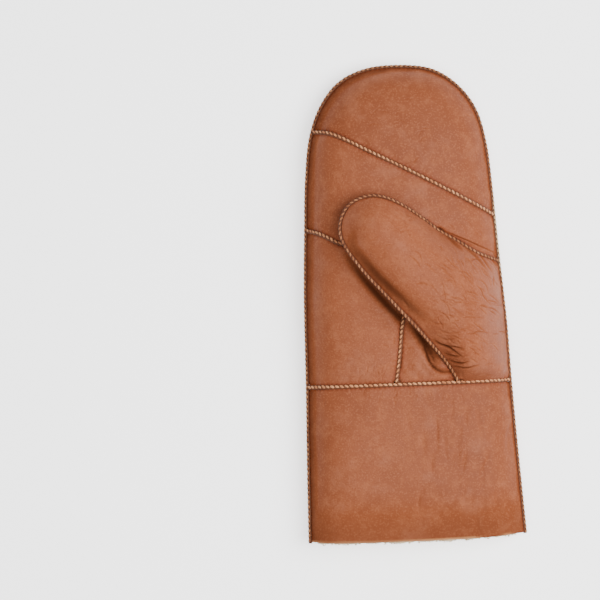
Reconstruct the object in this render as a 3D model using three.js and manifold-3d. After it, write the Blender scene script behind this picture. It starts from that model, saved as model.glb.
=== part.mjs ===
// A sheepskin mitten for the right hand, lying on its back with the palm up and the thumb folded
// across it. Leather panels are sewn edge to edge with raised overcast seams, and the fleece side
// of the skin lines the hand and the thumb. Millimetres, +Z up, +Y towards the fingertips, the
// thumb side at +X, the origin on the surface below the middle of the mitten.

import * as THREE from "three";
import { mergeVertices } from "three/addons/utils/BufferGeometryUtils.js";
import Module from "manifold-3d";

const wasm = await Module();
wasm.setup();

// Driving dimensions
const mittenLength = 280;
const mittenWidth = 131;
const rimHeight = 13; // the side seam above the surface
const palmCrown = 21; // the palm above the side seam
const thumbLift = 11; // the thumb's own seam above the palm
const thumbCrown = 12; // the front of the thumb above its seam
const hingeSwell = 9; // how much fuller the front is over the hinge, where the hand opens into the thumb
const leather = 1.6;
const fleece = 4.5;
const thumbFleece = 3.5;
const seamRadius = 1.3;
const clearance = 0.35;
const seamDip = 1.5; // how far a seam pulls the leather in
const hemInset = 0.8; // the leather's cut edge stays this far inside the fleece's at the hem
const seamProud = 0.2; // the seam's centre above the leather's edge
const backSeamProud = 0.1; // the same below the leather of the back, which lies on the surface
const thumbRest = 0.9; // the underside of the thumb above the palm
const crotchTrim = 6; // a seam that ends under the thumb stops this far from the crotch
const backSeamOffset = 2; // the seam of the back meets the tip this far to the outer side
const shoulderShare = 0.36; // share of a back panel's outer edge that goes round the tip
const mouthRun = 12; // the outline's straight run past the hem, half of which the hollow is cut to
const farAway = 120; // past everything, for cutting
const edgeStep = 0.6; // a surface that is cut back from the leather starts this far inside its edges

// How far each rounding reaches in from an edge
const palmRollReach = 18;
const palmCrownReach = 52;
const backRollReach = 17;
const dipReach = 9;
const thumbFrontReach = 22;
const thumbUnderReach = 13;
const thumbHingeReach = 26;
const rollPower = 2.2;
const rollShare = 0.55; // the share of the palm's crown that the rounded rim gives

// Plan outline, from the little-finger corner of the hem over the tip to the thumb-side corner.
// across is a share of the width, along a share of the length, both from the middle.
const outlineTable = [
  { across: -0.478, along: -0.5 },
  { across: -0.485, along: -0.356 },
  { across: -0.491, along: -0.173 },
  { across: -0.5, along: 0.01 },
  { across: -0.499, along: 0.152 },
  { across: -0.495, along: 0.261 },
  { across: -0.477, along: 0.349 },
  { across: -0.433, along: 0.411 },
  { across: -0.352, along: 0.463 },
  { across: -0.229, along: 0.492 },
  { across: -0.07, along: 0.5 },
  { across: 0.076, along: 0.492 },
  { across: 0.185, along: 0.461 },
  { across: 0.267, along: 0.413 },
  { across: 0.314, along: 0.345 },
  { across: 0.341, along: 0.256 },
  { across: 0.36, along: 0.173 },
  { across: 0.379, along: 0.089 },
  { across: 0.408, along: -0.028 },
  { across: 0.431, along: -0.157 },
  { across: 0.458, along: -0.291 },
  { across: 0.5, along: -0.478 },
];

// The hem's own line, and the wrist seam as the height of its two ends
const hemTable = [
  { across: -0.478, along: -0.5 },
  { across: 0, along: -0.494 },
  { across: 0.276, along: -0.487 },
  { across: 0.5, along: -0.478 },
];
const wristSeam = { left: -0.173, right: -0.156 };
const thumbFoot = 0.193; // where the thumb's seam leaves the wrist seam, across
const gussetFoot = -0.091; // where the gusset's seam leaves it
const gussetReach = 0.985; // share of the gusset's seam that the heel panel follows
// The seam of the back, from its foot on the wrist seam
const backSeamFoot = -0.02;
const backSeamTable = [
  { across: -0.05, along: 0 },
  { across: -0.075, along: 0.25 },
  { across: -0.084, along: 0.4 },
];

// Seams on the palm. The ends of the first two lie on the outline at the heights given.
const fingerSeam = {
  left: 0.362,
  right: 0.189,
  table: [
    { across: -0.395, along: 0.358 },
    { across: -0.188, along: 0.314 },
    { across: -0.051, along: 0.284 },
    { across: 0.133, along: 0.242 },
  ],
};
const palmSeam = {
  left: 0.156,
  right: 0.0925,
  leftTable: [
    { across: -0.435, along: 0.148 },
    { across: -0.343, along: 0.128 },
    { across: -0.15, along: 0.119 },
  ],
  rightTable: [
    { across: 0.189, along: 0.132 },
    { across: 0.276, along: 0.109 },
  ],
};
const crotch = { across: 0.101, along: 0.154 };
const thumbTable = [
  { across: 0.149, along: -0.126 },
  { across: 0.028, along: -0.061 },
  { across: -0.115, along: 0.009 },
  { across: -0.243, along: 0.072 },
  { across: -0.332, along: 0.13 },
  { across: -0.347, along: 0.162 },
  { across: -0.318, along: 0.2 },
  { across: -0.262, along: 0.219 },
  { across: -0.19, along: 0.226 },
  { across: -0.099, along: 0.214 },
  { across: 0.028, along: 0.179 },
];
const gussetTable = [
  { across: -0.075, along: -0.102 },
  { across: -0.061, along: -0.031 },
  { across: -0.017, along: 0.052 },
  { across: 0.041, along: 0.114 },
];

// How full the mitten is along its length, as a share of the palm's crown
const fullnessTable = [
  { along: -0.5, fullness: 0.8 },
  { along: -0.33, fullness: 0.86 },
  { along: -0.165, fullness: 0.88 },
  { along: 0.02, fullness: 1 },
  { along: 0.25, fullness: 1 },
  { along: 0.5, fullness: 0.88 },
];

// The folded wedge's part of the hinge and of the gusset's seam, and its part of the thumb's edge
const wedgeShare = { first: 0.02, last: 0.93 };
const leafShare = { first: 0.04, last: 0.96 };

// How fine the meshes are
const curveSamples = 90;
const distanceSamples = 24;
const thumbSamples = 60;
const rimSamples = 30;
const seamSamples = 40;
const cordSides = 6;
const cordStep = 7.5;
const normalStep = 0.4;
const halvings = 30;
const gridSize = {
  fingertip: [11, 9],
  finger: [14, 7],
  heel: [9, 8],
  thumbFront: [14, 11],
  wedge: [4, 16],
  back: [7, 11],
  cuff: [14, 5],
  whole: [12, 12],
  leafColumns: 6,
  leafRows: 18,
};

const tipColour = 0xa46141;
const palmColour = 0xb37051;
const thumbColour = 0xb67353;
const backColour = 0xb07455;
const cuffColour = 0xac6d50;
const seamColour = 0xd9a679;
const sideSeamColour = 0x8a4a2c;
const fleeceColour = 0xe6d8bd;
const leatherRoughness = 0.5;
const seamRoughness = 0.7;
const fleeceRoughness = 0.95;

// Plan geometry

function planPoint({ across, along }) {
  const y = along * (mittenLength - seamRadius) - seamRadius / 2;
  return new THREE.Vector2(across * (mittenWidth - 2 * seamRadius), y);
}

function smoothLine(points, samples = curveSamples) {
  const raised = points.map((p) => new THREE.Vector3(p.x, p.y, 0));
  const curve = new THREE.CatmullRomCurve3(raised, false, "centripetal");
  return curve.getSpacedPoints(samples).map((p) => new THREE.Vector2(p.x, p.y));
}

function lineLength(line) {
  return line.slice(1).reduce((sum, p, i) => sum + p.distanceTo(line[i]), 0);
}

// The point at a share of a line's length
function pointAt(line, share) {
  let left = THREE.MathUtils.clamp(share, 0, 1) * lineLength(line);
  for (let i = 1; i < line.length; i++) {
    const step = line[i].distanceTo(line[i - 1]);
    if (left <= step || i === line.length - 1) {
      return line[i - 1].clone().lerp(line[i], step > 0 ? Math.min(left / step, 1) : 0);
    }
    left -= step;
  }
  return line[0].clone();
}

function span(line, from, to, samples = curveSamples) {
  return Array.from({ length: samples + 1 }, (_, i) => pointAt(line, from + ((to - from) * i) / samples));
}

function backwards(line) {
  return [...line].reverse();
}

function distanceToLine(p, line) {
  let best = Infinity;
  for (let i = 1; i < line.length; i++) {
    const a = line[i - 1];
    const b = line[i];
    const dx = b.x - a.x;
    const dy = b.y - a.y;
    const square = dx * dx + dy * dy || 1;
    const t = THREE.MathUtils.clamp(((p.x - a.x) * dx + (p.y - a.y) * dy) / square, 0, 1);
    best = Math.min(best, Math.hypot(p.x - a.x - t * dx, p.y - a.y - t * dy));
  }
  return best;
}

// A line moved to its left by an amount, looking along it
function shifted(line, amount) {
  return line.map((p, i) => {
    const a = line[Math.max(i - 1, 0)];
    const b = line[Math.min(i + 1, line.length - 1)];
    const along = b.clone().sub(a).normalize();
    return new THREE.Vector2(p.x - along.y * amount, p.y + along.x * amount);
  });
}

// Where two lines cross, as an index along each, or null
function crossing(first, second) {
  for (let i = first.length - 1; i > 0; i--) {
    for (let j = 1; j < second.length; j++) {
      const a = first[i - 1];
      const b = first[i];
      const c = second[j - 1];
      const d = second[j];
      const det = (b.x - a.x) * (d.y - c.y) - (b.y - a.y) * (d.x - c.x);
      if (Math.abs(det) < 1e-12) continue;
      const s = ((c.x - a.x) * (d.y - c.y) - (c.y - a.y) * (d.x - c.x)) / det;
      const t = ((c.x - a.x) * (b.y - a.y) - (c.y - a.y) * (b.x - a.x)) / det;
      if (s >= 0 && s <= 1 && t >= 0 && t <= 1) return { i, j, point: a.clone().lerp(b, s) };
    }
  }
  return null;
}

// Four sides of a region, anticlockwise, each moved inwards by its own margin and cut at the corners
function insetSides(sides) {
  const moved = sides.map(({ line, margin }) => shifted(line, margin));
  for (let k = 0; k < 4; k++) {
    const next = (k + 1) % 4;
    const cross = crossing(moved[k], moved[next]);
    if (cross) {
      moved[k] = [...moved[k].slice(0, cross.i), cross.point];
      moved[next] = [cross.point, ...moved[next].slice(cross.j)];
    } else {
      const middle = moved[k].at(-1).clone().lerp(moved[next][0], 0.5);
      moved[k] = [...moved[k].slice(0, -1), middle];
      moved[next] = [middle, ...moved[next].slice(1)];
    }
  }
  return moved;
}

// Shares from 0 to 1 that lie closer together near both ends
function spread(count, crowding = 0.7) {
  return Array.from({ length: count + 1 }, (_, i) => {
    const even = i / count;
    return even + crowding * ((1 - Math.cos(Math.PI * even)) / 2 - even);
  });
}

// A grid of plan points over a four-sided region: bottom, right, top and left, anticlockwise
function planGrid(sides, columns, rows) {
  const [bottom, right, topBack, leftBack] = insetSides(sides);
  const top = backwards(topBack);
  const left = backwards(leftBack);
  const [c00, c10, c01, c11] = [bottom[0], bottom.at(-1), top[0], top.at(-1)];
  return spread(rows).map((v) =>
    spread(columns).map((u) => {
      const low = pointAt(bottom, u);
      const high = pointAt(top, u);
      const west = pointAt(left, v);
      const east = pointAt(right, v);
      const blend = (axis) =>
        (1 - v) * low[axis] + v * high[axis] + (1 - u) * west[axis] + u * east[axis] -
        (1 - u) * (1 - v) * c00[axis] - u * (1 - v) * c10[axis] - (1 - u) * v * c01[axis] - u * v * c11[axis];
      return new THREE.Vector2(blend("x"), blend("y"));
    }),
  );
}

// The outline and the seams in plan

const outline = smoothLine(outlineTable.map(planPoint), 4 * curveSamples);
const tipShare = outline.indexOf(outline.reduce((a, b) => (b.y > a.y ? b : a))) / (outline.length - 1);

// The share of the outline that lies at a height on one side
function outlineShare(side, along) {
  const y = planPoint({ across: 0, along }).y;
  let [low, high] = side === "left" ? [0, tipShare] : [1, tipShare];
  for (let i = 0; i < halvings; i++) {
    const middle = (low + high) / 2;
    if (pointAt(outline, middle).y < y) low = middle;
    else high = middle;
  }
  return (low + high) / 2;
}

const share = {
  wristLeft: outlineShare("left", wristSeam.left),
  wristRight: outlineShare("right", wristSeam.right),
  fingerLeft: outlineShare("left", fingerSeam.left),
  fingerRight: outlineShare("right", fingerSeam.right),
  palmLeft: outlineShare("left", palmSeam.left),
  palmRight: outlineShare("right", palmSeam.right),
};

function onOutline(name) {
  return pointAt(outline, share[name]);
}

// A line with a straight run added past one or both of its ends
function extended(line, before, after) {
  const start = line[0].clone().sub(line[1]).setLength(before).add(line[0]);
  const end = line.at(-1).clone().sub(line.at(-2)).setLength(after).add(line.at(-1));
  return [...(before ? [start] : []), ...line, ...(after ? [end] : [])];
}

const wristLine = span([onOutline("wristLeft"), onOutline("wristRight")], 0, 1);

function onWrist(across) {
  const x = planPoint({ across, along: 0 }).x;
  const [a, b] = [wristLine[0], wristLine.at(-1)];
  return a.clone().lerp(b, (x - a.x) / (b.x - a.x));
}

const crotchPoint = planPoint(crotch);
const fingerLine = smoothLine([onOutline("fingerLeft"), ...fingerSeam.table.map(planPoint), onOutline("fingerRight")]);
const palmLeftLine = smoothLine([onOutline("palmLeft"), ...palmSeam.leftTable.map(planPoint), crotchPoint]);
const palmRightLine = smoothLine([crotchPoint, ...palmSeam.rightTable.map(planPoint), onOutline("palmRight")]);
const palmLine = [...palmLeftLine, ...palmRightLine.slice(1)];
const thumbLine = smoothLine([onWrist(thumbFoot), ...thumbTable.map(planPoint), crotchPoint], 2 * curveSamples);
const gussetLine = smoothLine([onWrist(gussetFoot), ...gussetTable.map(planPoint), crotchPoint]);
const hingeLine = span([onWrist(thumbFoot), crotchPoint], 0, 1);
const hemLine = smoothLine(hemTable.map(planPoint));
const hemLong = extended(hemLine, mouthRun, mouthRun);
const outlineLong = extended(outline, mouthRun, mouthRun);
const backTop = pointAt(outline, tipShare - backSeamOffset / lineLength(outline));
const backLine = smoothLine([onWrist(backSeamFoot), ...backSeamTable.map(planPoint), backTop]);

function farthestShare(line, from) {
  const far = line.reduce((a, b) => (b.distanceTo(from) > a.distanceTo(from) ? b : a));
  return line.indexOf(far) / (line.length - 1);
}

const thumbTipShare = farthestShare(thumbLine, thumbLine[0]);
const thumbLower = span(thumbLine, 0, thumbTipShare);
const thumbUpper = span(thumbLine, thumbTipShare, 1);
const outlineThumbSide = span(outline, share.wristRight, share.palmRight, rimSamples);

// The same lines with fewer points, to measure distances from
const rim = extended(span(outline, 0, 1), mouthRun, mouthRun);
const coarse = (line) => span(line, 0, 1, distanceSamples);
const palmSeams = [fingerLine, palmLine, gussetLine, wristLine].map(coarse);
const backSeams = [backLine, wristLine].map(coarse);
const thumbEdge = span(thumbLine, 0, 1, thumbSamples);
const thumbPanelEdges = [thumbEdge, coarse(palmRightLine), outlineThumbSide, coarse(wristLine)];
const thumbPanelDips = [palmRightLine, wristLine].map(coarse);

// Heights

function roll(distance, reach) {
  return 1 - (1 - THREE.MathUtils.clamp(distance / reach, 0, 1)) ** rollPower;
}

function fullness(y) {
  const along = THREE.MathUtils.clamp(y / (mittenLength - seamRadius), -0.5, 0.5);
  const next = Math.max(1, fullnessTable.findIndex((row) => row.along >= along));
  const [a, b] = [fullnessTable[next - 1], fullnessTable[next]];
  return THREE.MathUtils.lerp(a.fullness, b.fullness, THREE.MathUtils.smoothstep(along, a.along, b.along));
}

// How much the seams pull the leather in at a point
function dip(p, lines) {
  const nearest = Math.min(...lines.map((line) => distanceToLine(p, line)));
  return seamDip * (1 - roll(nearest, dipReach)) * roll(distanceToLine(p, rim), dipReach);
}

function palmBase(p) {
  const inside = distanceToLine(p, rim);
  const shape = rollShare * roll(inside, palmRollReach) + (1 - rollShare) * roll(inside, palmCrownReach);
  return rimHeight + palmCrown * fullness(p.y) * shape;
}

function palmHeight(p) {
  return palmBase(p) - dip(p, palmSeams);
}

function backBase(p) {
  return rimHeight * (1 - roll(distanceToLine(p, rim), backRollReach));
}

function backHeight(p) {
  return backBase(p) + dip(p, backSeams);
}

// How far a point lies on the free side of the thumb's hinge, negative towards the thumb-side edge
function freeSide(p) {
  const [a, b] = [hingeLine[0], hingeLine.at(-1)];
  return ((b.x - a.x) * (p.y - a.y) - (b.y - a.y) * (p.x - a.x)) / a.distanceTo(b);
}

function thumbSeamHeight(p) {
  return palmBase(p) + thumbLift * THREE.MathUtils.smoothstep(freeSide(p), 0, thumbHingeReach);
}

function thumbFrontHeight(p) {
  const inside = Math.min(...thumbPanelEdges.map((line) => distanceToLine(p, line)));
  const seamPull = dip(p, thumbPanelDips) * roll(distanceToLine(p, thumbEdge), dipReach);
  const swell = hingeSwell * (1 - THREE.MathUtils.smoothstep(Math.abs(freeSide(p)), 0, thumbHingeReach));
  return thumbSeamHeight(p) + (thumbCrown + swell) * roll(inside, thumbFrontReach) - seamPull;
}

function thumbUnderHeight(p) {
  const rest = palmBase(p) + thumbRest;
  const seam = Math.max(thumbSeamHeight(p), rest);
  return seam + (rest - seam) * roll(distanceToLine(p, thumbEdge), thumbUnderReach);
}

// Solids

// A closed solid between two grids of points that match
function solidBetween(outer, inner) {
  const rows = outer.length;
  const columns = outer[0].length;
  const at = (layer, i, j) => layer * rows * columns + i * columns + j;
  const faces = [];
  const quad = (a, b, c, d) => faces.push(a, b, c, a, c, d);
  for (let i = 0; i + 1 < rows; i++) {
    for (let j = 0; j + 1 < columns; j++) {
      quad(at(0, i, j), at(0, i, j + 1), at(0, i + 1, j + 1), at(0, i + 1, j));
      quad(at(1, i, j), at(1, i + 1, j), at(1, i + 1, j + 1), at(1, i, j + 1));
    }
  }
  for (let j = 0; j + 1 < columns; j++) {
    quad(at(0, 0, j), at(1, 0, j), at(1, 0, j + 1), at(0, 0, j + 1));
    quad(at(0, rows - 1, j), at(0, rows - 1, j + 1), at(1, rows - 1, j + 1), at(1, rows - 1, j));
  }
  for (let i = 0; i + 1 < rows; i++) {
    quad(at(0, i, 0), at(0, i + 1, 0), at(1, i + 1, 0), at(1, i, 0));
    quad(at(0, i, columns - 1), at(1, i, columns - 1), at(1, i + 1, columns - 1), at(0, i + 1, columns - 1));
  }
  const geometry = new THREE.BufferGeometry().setFromPoints([...outer.flat(), ...inner.flat()]);
  geometry.setIndex(faces);
  if (signedVolume(geometry) < 0) {
    for (let f = 0; f < faces.length; f += 3) [faces[f + 1], faces[f + 2]] = [faces[f + 2], faces[f + 1]];
    geometry.setIndex(faces);
  }
  return geometry;
}

function signedVolume(geometry) {
  const position = geometry.getAttribute("position");
  const corner = (k) => new THREE.Vector3().fromBufferAttribute(position, geometry.index.getX(k));
  let sum = 0;
  for (let k = 0; k < geometry.index.count; k += 3) {
    sum += corner(k).dot(corner(k + 1).cross(corner(k + 2)));
  }
  return sum / 6;
}

// The unit normal of a height surface, up for side 1 and down for side -1
function heightNormal(height, p, side) {
  const rise = (dx, dy) => height(new THREE.Vector2(p.x + dx, p.y + dy)) - height(new THREE.Vector2(p.x - dx, p.y - dy));
  return new THREE.Vector3(-rise(normalStep, 0), -rise(0, normalStep), 2 * normalStep).setLength(side);
}

// The points of a plan grid on a height surface, moved inwards along its normals by a depth
function surface(grid, height, side, depth = 0) {
  return grid.map((row) =>
    row.map((p) => {
      const point = new THREE.Vector3(p.x, p.y, height(p));
      return depth ? point.addScaledVector(heightNormal(height, p, side), -depth) : point;
    }),
  );
}

// A wall of leather over a plan grid, its outer face on the height surface
function sheet(grid, height, side) {
  return solidBetween(surface(grid, height, side), surface(grid, height, side, leather));
}

// All the space on one side of a grid of points, as far as a level plane
function spaceTo(points, level) {
  return toSolid(solidBetween(points, points.map((row) => row.map((p) => new THREE.Vector3(p.x, p.y, level)))));
}

function toSolid(geometry) {
  const bare = new THREE.BufferGeometry().setAttribute("position", geometry.getAttribute("position"));
  if (geometry.index) bare.setIndex(geometry.index);
  const merged = mergeVertices(bare, 1e-4);
  return new wasm.Manifold(
    new wasm.Mesh({
      numProp: 3,
      vertProperties: merged.attributes.position.array,
      triVerts: new Uint32Array(merged.index.array),
    }),
  );
}

function toGeometry(solid) {
  const mesh = solid.getMesh();
  const position = new Float32Array(mesh.numVert * 3);
  for (let i = 0; i < mesh.numVert; i++) {
    position.set(mesh.vertProperties.subarray(i * mesh.numProp, i * mesh.numProp + 3), i * 3);
  }
  return new THREE.BufferGeometry()
    .setAttribute("position", new THREE.BufferAttribute(position, 3))
    .setIndex(new THREE.BufferAttribute(mesh.triVerts, 1));
}

// Seams

// A raised seam: a cord along points in space, its ends trimmed
function seamCord(points, trimStart = 0, trimEnd = 0, radius = seamRadius) {
  const whole = new THREE.CatmullRomCurve3(points, false, "centripetal");
  const length = whole.getLength();
  const steps = Math.max(4, Math.round((length - trimStart - trimEnd) / cordStep));
  const kept = Array.from({ length: steps + 1 }, (_, i) =>
    whole.getPointAt((trimStart + ((length - trimStart - trimEnd) * i) / steps) / length),
  );
  const section = new THREE.Shape();
  for (let k = 0; k < cordSides; k++) {
    const angle = (2 * Math.PI * k) / cordSides;
    section[k ? "lineTo" : "moveTo"](radius * Math.cos(angle), radius * Math.sin(angle));
  }
  section.closePath();
  return new THREE.ExtrudeGeometry(section, {
    steps,
    bevelEnabled: false,
    extrudePath: new THREE.CatmullRomCurve3(kept, false, "centripetal"),
  });
}

// Plan points lifted to a seam's centre on a height surface
function onSurface(line, height, proud, count = seamSamples) {
  return span(line, 0, 1, count).map((p) => new THREE.Vector3(p.x, p.y, height(p) + proud));
}

// The thumb's seam runs on from the crotch to the side seam
const thumbSeamLine = [...thumbLine, ...palmRightLine.slice(1)];

function thumbSeamLevel(p) {
  return thumbSeamHeight(p) - dip(p, thumbPanelDips) * roll(distanceToLine(p, thumbEdge), dipReach);
}

const sideSeamPoints = onSurface(outline, () => rimHeight, 0, curveSamples);
const thumbSeamPoints = onSurface(thumbSeamLine, thumbSeamLevel, seamProud, 2 * seamSamples);

// How far a panel's edge stays from the middle of a seam in plan, on a surface that slopes there
const seamMargin = seamRadius + clearance;

function marginOnSlope(slope) {
  return seamMargin / Math.hypot(1, slope);
}

const palmRimSlope =
  palmCrown * rollPower * (rollShare / palmRollReach + (1 - rollShare) / palmCrownReach);
const palmRimMargin = marginOnSlope(palmRimSlope);
const backRimMargin = marginOnSlope((rimHeight * rollPower) / backRollReach);
const steepestLift = (1.5 * thumbLift) / thumbHingeReach; // a smoothstep's middle is 1.5 times as steep
const thumbFrontMargin = marginOnSlope((thumbCrown * rollPower) / thumbFrontReach - steepestLift);
const thumbUnderMargin = marginOnSlope(((thumbLift - thumbRest) * rollPower) / thumbUnderReach);

// The main piece of a solid that a cut has left in pieces
function mainPiece(solid) {
  return solid.decompose().reduce((a, b) => (b.volume() > a.volume() ? b : a));
}

// Leather is left out where the thumb's seam comes down to it
function clearOfThumbSeam(geometry) {
  const channel = toSolid(seamCord(thumbSeamPoints, 0, 0, seamMargin));
  return toGeometry(mainPiece(toSolid(geometry).subtract(channel)));
}

// Panels

// Three sides that go round the tip from one share of the outline down to another
function roundTip(from, to, margin) {
  const third = (to - from) / 3;
  return [0, 1, 2].map((k) => ({ line: span(outline, from + k * third, from + (k + 1) * third), margin }));
}

function fingertipPanel() {
  const sides = [
    { line: fingerLine, margin: seamMargin },
    ...roundTip(share.fingerRight, share.fingerLeft, palmRimMargin),
  ];
  return sheet(planGrid(sides, ...gridSize.fingertip), palmHeight, 1);
}

function fingerPanel() {
  const sides = [
    { line: palmLine, margin: seamMargin },
    { line: span(outline, share.palmRight, share.fingerRight), margin: palmRimMargin },
    { line: backwards(fingerLine), margin: seamMargin },
    { line: span(outline, share.fingerLeft, share.palmLeft), margin: palmRimMargin },
  ];
  return clearOfThumbSeam(sheet(planGrid(sides, ...gridSize.finger), palmHeight, 1));
}

function heelPanel() {
  const sides = [
    { line: [wristLine[0], onWrist(gussetFoot)], margin: seamMargin },
    { line: span(gussetLine, 0, gussetReach), margin: seamMargin },
    { line: backwards(palmLeftLine), margin: seamMargin },
    { line: span(outline, share.palmLeft, share.wristLeft), margin: palmRimMargin },
  ];
  return clearOfThumbSeam(sheet(planGrid(sides, ...gridSize.heel), palmHeight, 1));
}

function thumbFrontGrid(wristMargin, rimMargin, edgeMargin) {
  const sides = [
    { line: span([onWrist(thumbFoot), wristLine.at(-1)], 0, 1), margin: wristMargin },
    { line: outlineThumbSide, margin: rimMargin },
    { line: backwards([...thumbUpper, ...palmRightLine.slice(1)]), margin: edgeMargin },
    { line: backwards(thumbLower), margin: edgeMargin },
  ];
  return planGrid(sides, ...gridSize.thumbFront);
}

function thumbFrontPanel() {
  return sheet(thumbFrontGrid(seamMargin, palmRimMargin, thumbFrontMargin), thumbFrontHeight, 1);
}

// The wedge of palm between the gusset's seam and the hinge, folded back there under the thumb
function thumbBackPanel() {
  const { first, last } = wedgeShare;
  const wedge = [
    { line: span([onWrist(gussetFoot), onWrist(thumbFoot)], 0, 1), margin: seamMargin },
    { line: span(hingeLine, first, last), margin: 0 },
    { line: span([pointAt(hingeLine, last), pointAt(gussetLine, last)], 0, 1), margin: 0 },
    { line: span(gussetLine, last, 0), margin: seamMargin },
  ];
  const palmPart = planGrid(wedge, ...gridSize.wedge);
  const edge = shifted(thumbLine, -thumbUnderMargin);
  const thumbPart = palmPart.map((row, i) => {
    const far = pointAt(edge, THREE.MathUtils.lerp(leafShare.first, leafShare.last, i / (palmPart.length - 1)));
    return spread(gridSize.leafColumns).map((u) => row.at(-1).clone().lerp(far, u));
  });
  const wall = (depth) => {
    const low = surface(palmPart, palmHeight, 1, depth);
    const high = surface(thumbPart, thumbUnderHeight, -1, depth);
    return low.map((row, i) => {
      const turn = new THREE.Vector3(depth, 0, 0);
      return [...row.slice(0, -1), row.at(-1).add(turn), high[i][0].add(turn), ...high[i].slice(1)];
    });
  };
  const wide = thumbFrontGrid(edgeStep, edgeStep, edgeStep);
  const front = solidBetween(
    surface(wide, thumbFrontHeight, 1, -leather),
    surface(wide, thumbFrontHeight, 1, leather + clearance),
  );
  const folded = toSolid(solidBetween(wall(0), wall(leather))).subtract(toSolid(front));
  return clearOfThumbSeam(toGeometry(folded));
}

function backPanel(side) {
  const left = side === "left";
  const [foot, top] = [backLine[0], backLine.at(-1)];
  const topShare = tipShare - backSeamOffset / lineLength(outline);
  const wrist = left ? [wristLine[0], foot] : [foot, wristLine.at(-1)];
  const low = left ? share.wristLeft : share.wristRight;
  const shoulder = THREE.MathUtils.lerp(topShare, low, shoulderShare);
  const lower = span(outline, low, shoulder);
  const upper = span(outline, shoulder, topShare);
  const base = { line: span(wrist, 0, 1), margin: seamMargin };
  const seam = { line: left ? backLine : backwards(backLine), margin: seamMargin };
  const sides = left
    ? [base, seam, { line: backwards(upper), margin: backRimMargin }, { line: backwards(lower), margin: backRimMargin }]
    : [base, { line: lower, margin: backRimMargin }, { line: upper, margin: backRimMargin }, seam];
  return sheet(planGrid(sides, ...gridSize.back), backHeight, -1);
}

function cuffPanel(height, side, rimMargin) {
  const sides = [
    { line: hemLong, margin: hemInset },
    { line: span(outlineLong, 1, outlineLongShare(share.wristRight)), margin: rimMargin },
    { line: backwards(wristLine), margin: seamMargin },
    { line: span(outlineLong, outlineLongShare(share.wristLeft), 0), margin: rimMargin },
  ];
  return sheet(planGrid(sides, ...gridSize.cuff), height, side);
}

// The share along the outline with its runs past the hem that lies at a share of the outline
function outlineLongShare(short) {
  return (mouthRun + short * lineLength(outline)) / lineLength(outlineLong);
}

// The fleece

// A plan grid over the whole mitten, its open end moved by an amount past the hem
function wholeGrid(pastHem) {
  const [low, high] = [outlineLongShare(share.palmRight), outlineLongShare(share.palmLeft)];
  const quarter = THREE.MathUtils.lerp(low, high, 0.25);
  const threeQuarters = THREE.MathUtils.lerp(low, high, 0.75);
  const sides = [
    { line: hemLong, margin: -pastHem },
    { line: span(outlineLong, 1, quarter), margin: edgeStep },
    { line: span(outlineLong, quarter, threeQuarters), margin: edgeStep },
    { line: span(outlineLong, threeQuarters, 0), margin: edgeStep },
  ];
  return planGrid(sides, ...gridSize.whole);
}

// The space inside the leather at a depth, for the hand and for the thumb with the hand below it
function innerSpaces(bodyDepth, thumbDepth, pastHem) {
  const whole = wholeGrid(pastHem);
  const underPalm = spaceTo(surface(whole, palmBase, 1, bodyDepth), -farAway);
  const aboveBack = spaceTo(surface(whole, backBase, -1, bodyDepth), farAway);
  const front = thumbFrontGrid(2 * seamMargin, edgeStep, edgeStep);
  const underThumb = spaceTo(surface(front, thumbFrontHeight, 1, thumbDepth), -farAway);
  const turn = thumbDepth + clearance;
  const { leafRows, leafColumns } = gridSize;
  const leaf = span(hingeLine, 0, 1, leafRows).map((hinge, i) => {
    const far = pointAt(shifted(thumbLine, -edgeStep), i / leafRows);
    return spread(leafColumns).map((u) => new THREE.Vector2(hinge.x + turn, hinge.y).lerp(far, u));
  });
  const outside = span(shifted(thumbLine, 2 * turn), 0, 1, leafRows);
  const belowLeaf = spaceTo(
    surface(leaf, thumbUnderHeight, -1, turn).map((row, i) => [
      ...row,
      new THREE.Vector3(outside[i].x, outside[i].y, row.at(-1).z + turn),
    ]),
    -farAway,
  );
  return { hand: underPalm.intersect(aboveBack), thumb: underThumb.intersect(aboveBack).subtract(belowLeaf) };
}

const bodyGap = leather + seamDip + clearance;
const thumbGap = leather + 3 * clearance;
const outerSpaces = innerSpaces(bodyGap, thumbGap, 0);
const hollowSpaces = innerSpaces(bodyGap + fleece, thumbGap + thumbFleece, mouthRun / 2);
const hollow = mainPiece(hollowSpaces.hand.add(hollowSpaces.thumb));

function handLining() {
  return toGeometry(mainPiece(outerSpaces.hand.subtract(hollow)));
}

// The thumb's fleece is a piece of its own, sewn on where the thumb leaves the hand
function thumbLining() {
  const handWithGap = innerSpaces(bodyGap - clearance, thumbGap, mouthRun / 2).hand;
  return toGeometry(mainPiece(outerSpaces.thumb.subtract(handWithGap).subtract(hollow)));
}

// The mitten

const group = new THREE.Group();

function add(name, geometry, colour, roughness = leatherRoughness) {
  const material = new THREE.MeshStandardMaterial({ color: colour, roughness, metalness: 0 });
  const mesh = new THREE.Mesh(geometry, material);
  mesh.name = name;
  group.add(mesh);
}

add("fingertip_panel", fingertipPanel(), tipColour);
add("finger_panel", fingerPanel(), palmColour);
add("heel_panel", heelPanel(), palmColour);
add("thumb_front_panel", thumbFrontPanel(), thumbColour);
add("thumb_back_panel", thumbBackPanel(), thumbColour);
add("back_thumb_side_panel", backPanel("right"), backColour);
add("back_outer_panel", backPanel("left"), backColour);
add("cuff_palm_panel", cuffPanel(palmHeight, 1, palmRimMargin), cuffColour);
add("cuff_back_panel", cuffPanel(backHeight, -1, backRimMargin), cuffColour);
add("hand_lining", handLining(), fleeceColour, fleeceRoughness);
add("thumb_lining", thumbLining(), fleeceColour, fleeceRoughness);

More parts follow.
